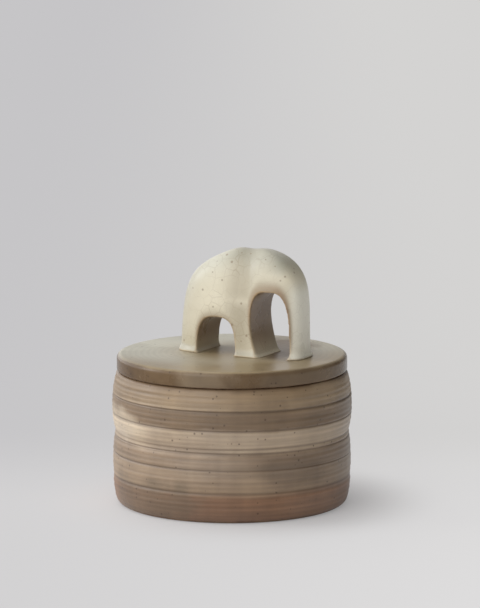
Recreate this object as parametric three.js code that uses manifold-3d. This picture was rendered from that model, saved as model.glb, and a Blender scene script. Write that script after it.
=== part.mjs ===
// Covered jar with a pierced handle: a banded stoneware jar, a flat lid that
// lifts off, and a two-arch handle held to the lid by studs, washers and nuts.
// Millimetres, +Z up, origin on the table under the jar's axis.

import * as THREE from "three";
import { mergeVertices } from "three/addons/utils/BufferGeometryUtils.js";
import Module from "manifold-3d";

const wasm = await Module();
wasm.setup();

// Clearances
const touchGap = 0.3;
const flangeClearance = 0.8;

// Jar, outside: three stacked bands with a shallow groove between each two
const jarHeight = 73.7;
const lowerGrooveHeight = 16.5;
const upperGrooveHeight = 41;
const footEdgeRadius = 62.8;
const lowerGrooveRadius = 65;
const upperGrooveRadius = 64.2;
const rimRadius = 63.3;
const lowerBandBulge = 0.9;
const middleBandBulge = 0.8;
const upperBandBulge = 2.3;
const bandCrest = 2.4;
const footRound = 3;
const rimRound = 1.6;

// Jar, inside and underneath
const mouthRadius = 56;
const mouthDepth = 14;
const wallThickness = 7;
const floorThickness = 7;
const cavityRound = 6;
const footRingWidth = 8;
const footRecess = 2.5;

// Lid
const lidRadius = 63.4;
const lidEdgeHeight = 9;
const lidTopRound = 2.6;
const lidBottomRound = 1;
const lidPlateThickness = 7;
const flangeDepth = 8;
const flangeWall = 5;
const flangeRound = 1.2;

// Handle: its own frame has U along its length, V through it and Z up
const handleOffset = 7.5;
const handleTurn = THREE.MathUtils.degToRad(-28);
const handleLength = 77;
const handleDepth = 30;
const handleHeight = 59.5;
const handlePlanCrest = 3.8;
const handleSideCrest = 5;
const handleTopCrest = 2.1;
const crownNarrowing = 2;
const crownShift = 3.5;
const leftLobeDrop = 3.4;
const creasePlace = 4.5;
const creaseWidth = 6.5;
const creaseDepth = 2;
const creaseFoot = 8;
const creaseFull = 34;
const creaseDip = 1.4;
const footFlare = 1.2;
const footFlareHeight = 4;

// Handle's three legs and the two arches between them, along U
const leftLegThickness = 15;
const middleLegThickness = 7.4;
const middleLegPlace = 4;
const rightLegThickness = 6;
const lowArchHeight = 20.6;
const lowArchCrest = 3;
const tallArchHeight = 36.4;
const tallArchCrest = 3.2;
const tallArchLean = 6.5;
const leanPower = 2.2;
const archFlare = 2.5;
const archFootRound = 2.5;
const archToe = 0.3;

// Fixings under the lid
const studDiameter = 4;
const studReach = 16;
const socketSpare = 1;
const studTail = 1;
const softWasherDiameter = 12;
const softWasherThickness = 1.5;
const flatWasherDiameter = 9;
const flatWasherThickness = 0.8;
const nutAcrossFlats = 7;
const nutSides = 6;
const nutThickness = 3.2;

// How finely curves are cut
const turnSteps = 72;
const bandSteps = 7;
const roundSteps = 4;
const handleTurnSteps = 64;
const handleLevels = 22;
const archSteps = 12;
const archRings = 18;
const studSteps = 20;
const washerSteps = 32;
const weldDistance = 1e-4;
const cutOverrun = 1;

// Heights that follow from the sizes above
const lidSeat = jarHeight + touchGap;
const lidTop = lidSeat + lidEdgeHeight;
const lidPlateUnderside = lidTop - lidPlateThickness;
const handleFoot = lidTop + touchGap;
const softWasherTop = lidPlateUnderside - touchGap;
const flatWasherTop = softWasherTop - softWasherThickness - touchGap;
const nutTop = flatWasherTop - flatWasherThickness - touchGap;
const studBottom = nutTop - nutThickness - studTail;
const studTop = handleFoot + studReach;
const studBore = studDiameter / 2 + touchGap;

const stoneware = { roughness: 0.42, metalness: 0 };
const materials = {
  jar: new THREE.MeshStandardMaterial({ color: 0x8a745e, ...stoneware }),
  lid: new THREE.MeshStandardMaterial({ color: 0x66523f, ...stoneware }),
  handle: new THREE.MeshStandardMaterial({ color: 0xe0d8bd, roughness: 0.35, metalness: 0 }),
  brass: new THREE.MeshStandardMaterial({ color: 0xb08d4c, roughness: 0.35, metalness: 1 }),
  leather: new THREE.MeshStandardMaterial({ color: 0x7a4f31, roughness: 0.8, metalness: 0 }),
};

// Points of a quarter round from one corner to the next, about a centre
function quarterRound(centreX, centreY, radius, startDegrees) {
  const points = [];
  for (let step = 0; step <= roundSteps; step += 1) {
    const angle = THREE.MathUtils.degToRad(startDegrees + (90 * step) / roundSteps);
    points.push([centreX + radius * Math.cos(angle), centreY + radius * Math.sin(angle)]);
  }
  return points;
}

// A closed solid of revolution about Z from [radius, height] points
function revolved(points, steps) {
  const outline = points.map(([radius, height]) => new THREE.Vector2(radius, height));
  const geometry = new THREE.LatheGeometry(outline, steps);
  geometry.rotateX(Math.PI / 2);
  return outward(geometry);
}

// Six times the volume, positive when the faces point out
function signedVolume(geometry) {
  const place = geometry.getAttribute("position");
  const index = geometry.getIndex();
  const a = new THREE.Vector3();
  const b = new THREE.Vector3();
  const c = new THREE.Vector3();
  let total = 0;
  for (let corner = 0; corner < index.count; corner += 3) {
    a.fromBufferAttribute(place, index.getX(corner));
    b.fromBufferAttribute(place, index.getX(corner + 1));
    c.fromBufferAttribute(place, index.getX(corner + 2));
    total += a.dot(b.cross(c));
  }
  return total;
}

// One welded, closed geometry with its faces pointing out and no sliver faces
function outward(source) {
  source.deleteAttribute("normal");
  source.deleteAttribute("uv");
  const geometry = mergeVertices(source, weldDistance);
  const index = geometry.getIndex();
  const flip = signedVolume(geometry) < 0;
  const kept = [];
  for (let corner = 0; corner < index.count; corner += 3) {
    const face = [index.getX(corner), index.getX(corner + 1), index.getX(corner + 2)];
    if (new Set(face).size === 3) {
      kept.push(...(flip ? face.reverse() : face));
    }
  }
  geometry.setIndex(kept);
  return geometry;
}

// A closed solid through rings of points, its first and last ring capped by fans
function lofted(rings) {
  const count = rings[0].length;
  const points = rings.flat();
  const faces = [];
  for (let ring = 0; ring + 1 < rings.length; ring += 1) {
    for (let step = 0; step < count; step += 1) {
      const next = (step + 1) % count;
      const low = ring * count;
      const high = low + count;
      faces.push(low + step, low + next, high + next);
      faces.push(low + step, high + next, high + step);
    }
  }
  for (const [ring, turned] of [[0, true], [rings.length - 1, false]]) {
    const middle = rings[ring].reduce((sum, point) => sum.add(point), new THREE.Vector3());
    points.push(middle.divideScalar(count));
    const centre = points.length - 1;
    for (let step = 0; step < count; step += 1) {
      const here = ring * count + step;
      const there = ring * count + ((step + 1) % count);
      faces.push(centre, turned ? there : here, turned ? here : there);
    }
  }
  const geometry = new THREE.BufferGeometry();
  geometry.setAttribute("position", new THREE.Float32BufferAttribute(
    points.flatMap((point) => [point.x, point.y, point.z]), 3));
  geometry.setIndex(faces);
  return outward(geometry);
}

// Joining and cutting
function asManifold(geometry) {
  return new wasm.Manifold(new wasm.Mesh({
    numProp: 3,
    vertProperties: new Float32Array(geometry.getAttribute("position").array),
    triVerts: new Uint32Array(geometry.getIndex().array),
  }));
}

function asGeometry(solid) {
  const mesh = solid.getMesh();
  const geometry = new THREE.BufferGeometry();
  geometry.setAttribute("position", new THREE.Float32BufferAttribute(mesh.vertProperties, 3));
  geometry.setIndex(Array.from(mesh.triVerts));
  return geometry;
}

function cutBy(geometry, cutters) {
  let solid = asManifold(geometry);
  for (const cutter of cutters) {
    solid = solid.subtract(asManifold(cutter));
  }
  return asGeometry(solid);
}

// An upright round bar between two heights
function uprightBar(radius, bottom, top, steps) {
  return revolved([[0, bottom], [radius, bottom], [radius, top], [0, top]], steps);
}

// Jar's outside radius at a height: a straight line between two grooves plus a
// crest that falls off to both, less the quarter rounds at the foot and the rim
function jarRadiusAt(height) {
  const grooves = [
    [0, footEdgeRadius, lowerBandBulge],
    [lowerGrooveHeight, lowerGrooveRadius, middleBandBulge],
    [upperGrooveHeight, upperGrooveRadius, upperBandBulge],
    [jarHeight, rimRadius, 0],
  ];
  let band = 0;
  while (band < 2 && height > grooves[band + 1][0]) {
    band += 1;
  }
  const [bottom, bottomRadius, bulge] = grooves[band];
  const [top, topRadius] = grooves[band + 1];
  const share = (height - bottom) / (top - bottom);
  const crest = bulge * (1 - Math.abs(2 * share - 1) ** bandCrest);
  return THREE.MathUtils.lerp(bottomRadius, topRadius, share) + crest
    - roundLoss(height, footRound) - roundLoss(jarHeight - height, rimRound);
}

// How far a quarter round of this radius stands back at a distance from the edge
function roundLoss(distance, radius) {
  if (distance >= radius) {
    return 0;
  }
  const reach = (radius - distance) / radius;
  return radius * (1 - Math.sqrt(1 - reach * reach));
}

// Heights that the jar's outside is cut at: close together where it is rounded
function jarHeights() {
  const heights = [];
  for (let step = 0; step < roundSteps; step += 1) {
    heights.push(footRound * (1 - Math.cos((Math.PI / 2) * (step / roundSteps))));
  }
  const bandEdges = [footRound, lowerGrooveHeight, upperGrooveHeight, jarHeight - rimRound];
  for (let band = 0; band + 1 < bandEdges.length; band += 1) {
    for (let step = 0; step < bandSteps; step += 1) {
      heights.push(THREE.MathUtils.lerp(bandEdges[band], bandEdges[band + 1], step / bandSteps));
    }
  }
  for (let step = 0; step <= roundSteps; step += 1) {
    heights.push(jarHeight - rimRound * (1 - Math.sin((Math.PI / 2) * (step / roundSteps))));
  }
  return heights;
}

function makeJar() {
  const outside = jarHeights().map((height) => [jarRadiusAt(height), height]);
  const ringInner = outside[0][0] - footRingWidth;
  const cavityRadius = upperGrooveRadius - wallThickness;
  const cavityFloor = footRecess + floorThickness;
  const shoulder = cavityRadius - mouthRadius;
  const inside = [
    [mouthRadius, jarHeight],
    [mouthRadius, jarHeight - mouthDepth],
    [cavityRadius, jarHeight - mouthDepth - 2 * shoulder],
  ];
  const corner = quarterRound(cavityRadius - cavityRound, cavityFloor + cavityRound, cavityRound, -90);
  inside.push(...corner.reverse());
  return revolved([
    [0, footRecess],
    [ringInner - footRecess, footRecess],
    [ringInner, 0],
    ...outside,
    ...inside,
    [0, cavityFloor],
  ], turnSteps);
}

function makeLid(studPlaces) {
  const flangeOuter = mouthRadius - flangeClearance;
  const flangeInner = flangeOuter - flangeWall;
  const flangeBottom = lidSeat - flangeDepth;
  const blank = revolved([
    [0, lidPlateUnderside],
    [flangeInner, lidPlateUnderside],
    [flangeInner, flangeBottom],
    ...quarterRound(flangeOuter - flangeRound, flangeBottom + flangeRound, flangeRound, -90),
    [flangeOuter, lidSeat],
    ...quarterRound(lidRadius - lidBottomRound, lidSeat + lidBottomRound, lidBottomRound, -90),
    ...quarterRound(lidRadius - lidTopRound, lidTop - lidTopRound, lidTopRound, 0),
    [0, lidTop],
  ], turnSteps);
  const holes = studPlaces.map((place) => {
    const hole = uprightBar(studBore, lidPlateUnderside - cutOverrun, lidTop + cutOverrun, studSteps);
    return hole.translate(place.x, place.y, 0);
  });
  return cutBy(blank, holes);
}

// Soft step from 0 to 1 between two places
function softStep(from, to, value) {
  return THREE.MathUtils.smoothstep(value, Math.min(from, to), Math.max(from, to));
}

// The handle's loaf: a superellipse in plan whose size falls off towards the
// narrower crown, with a crease that deepens above the middle leg, a lower left
// lobe and a flared foot
function loafPoint(turn, level) {
  const rise = 1 - (1 - level) ** 2;
  const size = (1 - rise ** handleSideCrest) ** (1 / handleTopCrest);
  const flare = footFlare * (1 - softStep(0, footFlareHeight, rise * handleHeight));
  const planPower = 2 / handlePlanCrest;
  const across = Math.sign(Math.cos(turn)) * Math.abs(Math.cos(turn)) ** planPower;
  const through = Math.sign(Math.sin(turn)) * Math.abs(Math.sin(turn)) ** planPower;
  const halfLength = handleLength / 2 - footFlare - crownNarrowing * rise;
  const u = across * (size * halfLength + flare) + crownShift * rise * rise;
  const crease = Math.exp(-(((u - creasePlace) / creaseWidth) ** 2));
  const creaseHere = crease * softStep(creaseFoot, creaseFull, rise * handleHeight);
  const half = handleDepth / 2 - footFlare - creaseDepth * creaseHere;
  const drop = leftLobeDrop * (1 - softStep(-handleLength / 3, creasePlace, u));
  const v = through * (size * half + flare);
  const z = rise * handleHeight - (drop + creaseDip * crease) * rise ** 3;
  return new THREE.Vector3(u, v, z);
}

function makeLoaf() {
  const rings = [];
  for (let level = 0; level < handleLevels; level += 1) {
    const ring = [];
    for (let step = 0; step < handleTurnSteps; step += 1) {
      ring.push(loafPoint((2 * Math.PI * step) / handleTurnSteps, level / handleLevels));
    }
    rings.push(ring);
  }
  return lofted(rings);
}

// Angles along an arch from its right foot to its left one, closer together at
// both feet
function archAngles(crest) {
  const rising = [];
  for (let step = 0; step <= archSteps; step += 1) {
    rising.push((Math.PI / 2) * (step / archSteps) ** (crest / 2));
  }
  const falling = rising.slice(0, -1).reverse().map((angle) => Math.PI - angle);
  return [...rising, ...falling];
}

// An arch through the handle: a tall superellipse that widens at both mouths
// and draws in at its foot, so that the legs stand on a small round. Its left
// side leans in by a power of the way down from its top
function makeArch(from, to, height, crest, lean) {
  const middle = (from + to) / 2;
  const halfWidth = (to - from) / 2;
  const halfDepth = handleDepth / 2;
  const power = 2 / crest;
  const angles = archAngles(crest);
  const rings = [];
  for (let ring = 0; ring <= archRings; ring += 1) {
    const v = THREE.MathUtils.lerp(-halfDepth - cutOverrun, halfDepth + cutOverrun, ring / archRings);
    const inward = Math.max(0, Math.abs(v) - (halfDepth - archFlare));
    const spread = roundLoss(archFlare - Math.min(inward, archFlare), archFlare);
    const section = angles.map((angle) => {
      const side = Math.sign(Math.cos(angle)) * Math.abs(Math.cos(angle)) ** power;
      const risen = Math.abs(Math.sin(angle)) ** power;
      const up = risen * (height + spread);
      const drawIn = roundLoss(up + archToe, archFootRound);
      const leaning = lean * (1 - risen) ** leanPower * ((1 - side) / 2);
      return new THREE.Vector3(middle + side * (halfWidth + spread - drawIn) + leaning, v, up);
    });
    const last = section[section.length - 1];
    section.push(new THREE.Vector3(last.x, v, -cutOverrun));
    section.push(new THREE.Vector3(section[0].x, v, -cutOverrun));
    rings.push(section);
  }
  return lofted(rings);
}

function makeHandle(legPlaces) {
  const end = handleLength / 2;
  const middleLeft = middleLegPlace - middleLegThickness / 2;
  const middleRight = middleLegPlace + middleLegThickness / 2;
  const tallRight = end - rightLegThickness;
  const lowArch = makeArch(-end + leftLegThickness, middleLeft, lowArchHeight, lowArchCrest, 0);
  const tallArch = makeArch(middleRight, tallRight, tallArchHeight, tallArchCrest, tallArchLean);
  const sockets = legPlaces.map((u) => {
    const socket = uprightBar(studBore, -cutOverrun, studReach + socketSpare, studSteps);
    return socket.translate(u, 0, 0);
  });
  return cutBy(makeLoaf(), [lowArch, tallArch, ...sockets]);
}

// A flat ring between two heights, round the stud
function studRing(outerRadius, top, thickness, steps) {
  return revolved([
    [studBore, top - thickness],
    [outerRadius, top - thickness],
    [outerRadius, top],
    [studBore, top],
    [studBore, top - thickness],
  ], steps);
}

function makeNut() {
  const corner = nutAcrossFlats / 2 / Math.cos(Math.PI / nutSides);
  const nutBottom = nutTop - nutThickness;
  const blank = uprightBar(corner, nutBottom, nutTop, nutSides);
  const bore = uprightBar(studBore, nutBottom - cutOverrun, nutTop + cutOverrun, studSteps);
  return cutBy(blank, [bore]);
}

function named(name, geometry, material) {
  const mesh = new THREE.Mesh(geometry, material);
  mesh.name = name;
  return mesh;
}

const object = new THREE.Group();
const handleGroup = new THREE.Group();
handleGroup.position.set(handleOffset, 0, 0);
handleGroup.rotation.z = handleTurn;

// Stud places in the handle's frame, under the middle of the two stouter legs
const leftLegPlace = -handleLength / 2 + leftLegThickness / 2;
const legPlaces = [leftLegPlace, middleLegPlace];
const legNames = ["left", "middle"];
handleGroup.updateMatrixWorld();
const studPlaces = legPlaces.map((u) => new THREE.Vector3(u, 0, 0).applyMatrix4(handleGroup.matrixWorld));

object.add(named("jar_body", makeJar(), materials.jar));
object.add(named("lid", makeLid(studPlaces), materials.lid));

const handle = named("handle", makeHandle(legPlaces), materials.handle);
handle.position.z = handleFoot;
handleGroup.add(handle);

legPlaces.forEach((u, leg) => {
  const fixing = new THREE.Group();
  fixing.position.set(u, 0, 0);
  const name = legNames[leg];
  const stud = uprightBar(studDiameter / 2, studBottom, studTop, studSteps);
  const softWasher = studRing(softWasherDiameter / 2, softWasherTop, softWasherThickness, washerSteps);
  const flatWasher = studRing(flatWasherDiameter / 2, flatWasherTop, flatWasherThickness, washerSteps);
  fixing.add(named(`stud_${name}`, stud, materials.brass));
  fixing.add(named(`soft_washer_${name}`, softWasher, materials.leather));
  fixing.add(named(`flat_washer_${name}`, flatWasher, materials.brass));
  fixing.add(named(`nut_${name}`, makeNut(), materials.brass));
  handleGroup.add(fixing);
});
object.add(handleGroup);

export default object;
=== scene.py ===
"""Covered jar with a pierced handle: its fine surfaces, glazes, fixings, light and camera."""

import math
from functools import partial

import bpy
import numpy as np
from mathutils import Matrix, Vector


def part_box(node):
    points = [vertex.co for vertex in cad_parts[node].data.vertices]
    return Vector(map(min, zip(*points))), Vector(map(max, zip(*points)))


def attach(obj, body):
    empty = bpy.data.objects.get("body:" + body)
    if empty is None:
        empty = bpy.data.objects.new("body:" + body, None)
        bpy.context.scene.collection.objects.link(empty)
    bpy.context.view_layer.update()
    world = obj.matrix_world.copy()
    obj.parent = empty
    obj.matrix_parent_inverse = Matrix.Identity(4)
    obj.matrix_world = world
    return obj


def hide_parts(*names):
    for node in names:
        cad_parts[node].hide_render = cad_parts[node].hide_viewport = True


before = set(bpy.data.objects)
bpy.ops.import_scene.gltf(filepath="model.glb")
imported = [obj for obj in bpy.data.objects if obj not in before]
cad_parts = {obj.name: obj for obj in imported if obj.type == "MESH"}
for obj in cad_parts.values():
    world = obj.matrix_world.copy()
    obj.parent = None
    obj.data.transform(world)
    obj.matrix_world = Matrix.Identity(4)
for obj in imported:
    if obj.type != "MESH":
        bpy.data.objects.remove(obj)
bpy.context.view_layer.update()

MM = 0.001
scene = bpy.context.scene

# Jar and lid, from the CAD parts' boxes
JAR_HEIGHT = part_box("jar_body")[1][2]
LID_LOW, LID_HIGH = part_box("lid")
LID_TOP = LID_HIGH[2]
HANDLE_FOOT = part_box("handle")[0][2]
TOUCH_GAP = HANDLE_FOOT - LID_TOP
LID_SEAT = JAR_HEIGHT + TOUCH_GAP

# Jar, outside, as the CAD model has it
GROOVE_HEIGHTS = np.array([0.0, 16.5, 41.0, JAR_HEIGHT / MM]) * MM
GROOVE_RADII = np.array([62.8, 65.0, 64.2, 63.3]) * MM
BAND_BULGES = np.array([0.9, 0.8, 2.3]) * MM
BAND_CREST = 2.4
FOOT_ROUND = 3.0 * MM
RIM_ROUND = 1.6 * MM

# Lines cut into the wall while it turned
SCORED_HEIGHTS = np.array([29.3, 38.6, 51.2, 61.6]) * MM
SCORED_DEPTH = 0.28 * MM
SCORED_WIDTH = 0.45 * MM

# Marks of throwing: how far they stand out and how far apart they are
RIDGE_HEIGHT = 0.12 * MM
FINE_RIDGE_PITCH = 2.6 * MM
BROAD_RIDGE_PITCH = 4.3 * MM
WOBBLE = 0.12 * MM
FINGER_MARK_HEIGHT = 0.16 * MM
FINGER_MARK_PITCH = 6.5 * MM

# Jar, inside and underneath
MOUTH_RADIUS = 56.0 * MM
MOUTH_DEPTH = 14.0 * MM
CAVITY_RADIUS = 57.2 * MM
CAVITY_FLOOR = 9.5 * MM
CAVITY_ROUND = 6.0 * MM
FOOT_RING_WIDTH = 8.0 * MM
FOOT_RECESS = 2.5 * MM

# Radii that the jar's marks and glazes go by: the outer wall lies past the first, the second is
# inside the wall, and the rim's flat top ends at the third
OUTER_WALL = 60.0 * MM
WALL_MIDDLE = 58.4 * MM
RIM_FLAT = 62.1 * MM

# Lid
LID_RADIUS = 63.4 * MM
LID_TOP_ROUND = 2.6 * MM
LID_BOTTOM_ROUND = 1.0 * MM
LID_UNDERSIDE = LID_TOP - 7.0 * MM
FLANGE_RADIUS = MOUTH_RADIUS - 0.8 * MM
FLANGE_WALL = 5.0 * MM
FLANGE_ROUND = 1.2 * MM

# Handle, in its own frame: U along it, V through it, Z up from its feet
HANDLE_OFFSET = 7.5 * MM
HANDLE_TURN = math.radians(-28.0)
HANDLE_LENGTH = 77.0 * MM
HANDLE_DEPTH = 30.0 * MM
HANDLE_HEIGHT = 59.5 * MM
PLAN_CREST = 3.8
SIDE_CREST = 5.0
TOP_CREST = 2.1
CROWN_NARROWING = 2.0 * MM
CROWN_SHIFT = 3.5 * MM
LEFT_LOBE_DROP = 3.4 * MM
CREASE_PLACE = 4.5 * MM
CREASE_WIDTH = 6.5 * MM
CREASE_DEPTH = 2.0 * MM
CREASE_FOOT = 8.0 * MM
CREASE_FULL = 34.0 * MM
CREASE_DIP = 1.4 * MM
FOOT_FLARE = 1.2 * MM
FOOT_FLARE_HEIGHT = 4.0 * MM
LEFT_LEG = 15.0 * MM
MIDDLE_LEG = 7.4 * MM
MIDDLE_LEG_PLACE = 4.0 * MM
RIGHT_LEG = 6.0 * MM
LOW_ARCH_HEIGHT = 20.6 * MM
TALL_ARCH_HEIGHT = 36.4 * MM
LOW_ARCH_CREST = 3.0
TALL_ARCH_CREST = 3.2
TALL_ARCH_LEAN = 6.5 * MM
LEAN_POWER = 2.2
ARCH_FLARE = 2.5 * MM
ARCH_FOOT_ROUND = 2.5 * MM
TOE = 0.3 * MM
LEG_PLACES = {"left": -HANDLE_LENGTH / 2 + LEFT_LEG / 2, "middle": MIDDLE_LEG_PLACE}
HAND_MARKS = 0.16 * MM
VOXEL = 0.45 * MM
SMOOTHINGS = 12

# Fixings under the lid
STUD_RADIUS = 2.0 * MM
SOFT_WASHER_RADIUS = 6.0 * MM
FLAT_WASHER_RADIUS = 4.5 * MM
STUD_BORE = 2.3 * MM
NUT_BORE = 2.05 * MM
NUT_ACROSS_FLATS = 7.0 * MM
SOCKET_DEPTH = 17.0 * MM
THREAD_PITCH = 0.7 * MM
THREAD_DEPTH = 0.38 * MM
THREAD_LENGTH = 13.0 * MM
HAIR = 0.02 * MM

TURN_STEPS = 240
ARC_STEP = 0.6 * MM

# Stage: places in metres; each lamp's name, place, size and power
LENS = 249.0
SENSOR = 36.0
CAMERA_PLACE = (0.0044, -2.28, 0.484)
CAMERA_TARGET = (0.0044, 0.0, 0.110)
LAMPS = [("key", (-1.65, 0.05, 0.75), 0.8, 6.5), ("fill", (-0.8, -1.3, 0.85), 1.0, 2.0)]
LAMP_TARGET = (0.0, 0.0, 0.06)
FLOOR_SIZE = 18.0
FLOOR_STEADY = 0.35
ROOM_LEFT = 1.82
ROOM_RIGHT = 0.11
ROOM_SEEN = 0.6


# Meshes from arrays

def grid_faces(rows, columns, wrap_rows=False):
    """Quads between neighbouring rows and columns of a grid; the last column meets the first, and
    so does the last row if the rows wrap."""
    bottoms = np.arange(rows if wrap_rows else rows - 1)
    row, column = np.meshgrid(bottoms, np.arange(columns), indexing="ij")
    above = (row + 1) % rows
    following = (column + 1) % columns
    corners = [row * columns + column, row * columns + following,
               above * columns + following, above * columns + column]
    return np.stack(corners, axis=-1).reshape(-1, 4).tolist()


def paint(mesh, name, values):
    """Keeps one number for each point of a mesh under a name that a material can read."""
    layer = mesh.attributes.new(name, "FLOAT", "POINT")
    layer.data.foreach_set("value", np.asarray(values, dtype=np.float32).ravel())


def in_scene(name, data):
    """An object of this data, linked to the scene."""
    made = bpy.data.objects.new(name, data)
    scene.collection.objects.link(made)
    return made


def make_piece(name, points, faces, material, crease=None):
    """A smooth-shaded mesh object from an (n, 3) array of points and a list of faces; edges that
    turn by more than the crease stay sharp."""
    mesh = bpy.data.meshes.new(name)
    mesh.from_pydata(points.tolist(), [], faces)
    mesh.validate()
    mesh.shade_smooth()
    if crease:
        mesh.set_sharp_from_angle(angle=math.radians(crease))
    mesh.materials.append(material)
    return in_scene(name, mesh)


def round_loss(distance, radius):
    """How far a quarter round of this radius stands back at a distance from its edge."""
    reach = np.clip((radius - distance) / radius, 0.0, 1.0)
    return radius * (1.0 - np.sqrt(1.0 - reach * reach))


def soft_step(start, end, value):
    """0 before start, 1 after end, and the smooth cubic between them; start may be the higher."""
    share = np.clip((value - start) / (end - start), 0.0, 1.0)
    return share * share * (3.0 - 2.0 * share)


def rounded_outline(corners, step, closed=False):
    """Straight lines from one (radius, height, round) corner to the next. Each corner becomes an
    arc of its own round that touches both lines, and each line is cut into steps."""
    corners = np.asarray(corners, dtype=float)
    count = len(corners)
    arcs = []
    for place, (radius, height, turn_radius) in enumerate(corners):
        here = np.array([radius, height])
        if turn_radius == 0.0:
            arcs.append(here[None, :])
            continue
        before = corners[place - 1, :2] - here
        after = corners[(place + 1) % count, :2] - here
        before = before / np.linalg.norm(before)
        after = after / np.linalg.norm(after)
        half = np.arccos(np.clip(before @ after, -1.0, 1.0)) / 2.0
        start = here + before * turn_radius / np.tan(half)
        finish = here + after * turn_radius / np.tan(half)
        inward = (before + after) / np.linalg.norm(before + after)
        centre = here + inward * turn_radius / np.sin(half)
        opening = np.pi - 2.0 * half
        share = np.linspace(0.0, 1.0, int(5 + turn_radius / ARC_STEP))[:, None]
        swing = (np.sin((1.0 - share) * opening) * (start - centre)
                 + np.sin(share * opening) * (finish - centre)) / np.sin(opening)
        arcs.append(centre + swing)
    runs = []
    for place in range(count if closed else count - 1):
        start = arcs[place][-1]
        finish = arcs[(place + 1) % count][0]
        cuts = int(np.ceil(np.linalg.norm(finish - start) / step))
        share = np.linspace(0.0, 1.0, cuts + 1)[1:-1, None]
        runs.append(arcs[place])
        runs.append(start * (1.0 - share) + finish * share)
    if not closed:
        runs.append(arcs[-1])
    return np.concatenate(runs)


def turned(name, outline, material, shape=None, painted=None, centre=(0.0, 0.0), first_turn=0.0,
           steps=TURN_STEPS, closed=False, crease=None):
    """A surface of revolution about an upright line through centre: each outline point (radius,
    height) turned through a full circle.

    An open outline starts and ends on the line, where the surface closes in single points, and a
    closed one runs back to its start. shape(turn, radius, height) gives the radius to use instead,
    and each function in painted gives a number that is kept on the mesh's points.
    """
    kept = outline if closed else outline[1:-1]
    rows = len(kept)
    angles = first_turn + np.linspace(0.0, 2.0 * np.pi, steps, endpoint=False)
    turn, radius = np.meshgrid(angles, kept[:, 0])
    height = np.repeat(kept[:, 1:2], steps, axis=1)
    full = shape(turn, radius, height) if shape else radius
    x = centre[0] + full * np.cos(turn)
    y = centre[1] + full * np.sin(turn)
    points = np.stack([x, y, height], axis=-1).reshape(-1, 3)
    faces = grid_faces(rows, steps, closed)
    if not closed:
        ends = [[centre[0], centre[1], outline[0, 1]], [centre[0], centre[1], outline[-1, 1]]]
        points = np.concatenate([points, ends])
        here = np.arange(steps)
        following = (here + 1) % steps
        low_end = np.full(steps, rows * steps)
        last = (rows - 1) * steps
        faces += np.stack([following, here, low_end], axis=-1).tolist()
        faces += np.stack([last + here, last + following, low_end + 1], axis=-1).tolist()
    piece = make_piece(name, points, faces, material, crease)
    for label, value_of in (painted or {}).items():
        values = np.zeros(len(points))
        values[:rows * steps] = value_of(turn, radius, height).ravel()
        paint(piece.data, label, values)
    return piece


def lofted(name, rings, material, flip=False):
    """A closed mesh through rings of points, its two ends capped."""
    rows, columns = rings.shape[:2]
    faces = grid_faces(rows, columns)
    faces.append(list(range(columns))[::-1])
    faces.append([(rows - 1) * columns + step for step in range(columns)])
    if flip:
        faces = [face[::-1] for face in faces]
    return make_piece(name, rings.reshape(-1, 3), faces, material)


def apply_modifiers(piece):
    """Puts what the modifiers make into the mesh itself."""
    graph = bpy.context.evaluated_depsgraph_get()
    finished = bpy.data.meshes.new_from_object(piece.evaluated_get(graph))
    piece.modifiers.clear()
    piece.data = finished
    finished.name = piece.name
    finished.shade_smooth()


def cut_with(piece, cutter):
    """Takes a closed cutter out of a piece and removes the cutter."""
    cut = piece.modifiers.new("cut", "BOOLEAN")
    cut.operation = "DIFFERENCE"
    cut.solver = "EXACT"
    cut.object = cutter
    apply_modifiers(piece)
    bpy.data.objects.remove(cutter)


def mesh_points(mesh):
    """The mesh's points as an (n, 3) array."""
    points = np.empty(len(mesh.vertices) * 3)
    mesh.vertices.foreach_get("co", points)
    return points.reshape(-1, 3)


def mesh_normals(mesh):
    """The normals at the mesh's points as an (n, 3) array."""
    normals = np.empty(len(mesh.vertices) * 3)
    mesh.vertex_normals.foreach_get("vector", normals)
    return normals.reshape(-1, 3)


def in_jar_frame(points):
    """Points from the handle's own frame turned and shifted to their place on the lid."""
    u, v, z = np.moveaxis(points, -1, 0)
    x = u * math.cos(HANDLE_TURN) - v * math.sin(HANDLE_TURN) + HANDLE_OFFSET
    y = u * math.sin(HANDLE_TURN) + v * math.cos(HANDLE_TURN)
    return np.stack([x, y, z], axis=-1)


# Jar

def jar_radius(height):
    """The line between two grooves plus a crest that falls off to both, less the end rounds and
    the scored lines, each a narrow bell curve."""
    band = np.clip(np.searchsorted(GROOVE_HEIGHTS, height, side="right") - 1, 0, 2)
    share = (height - GROOVE_HEIGHTS[band]) / (GROOVE_HEIGHTS[band + 1] - GROOVE_HEIGHTS[band])
    crest = BAND_BULGES[band] * (1.0 - np.abs(2.0 * share - 1.0) ** BAND_CREST)
    straight = GROOVE_RADII[band] * (1.0 - share) + GROOVE_RADII[band + 1] * share
    scored = np.exp(-(((height[:, None] - SCORED_HEIGHTS) / SCORED_WIDTH) ** 2)).sum(axis=1)
    radius = straight + crest - scored * SCORED_DEPTH - round_loss(height, FOOT_ROUND)
    return radius - round_loss(JAR_HEIGHT - height, RIM_ROUND)


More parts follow.
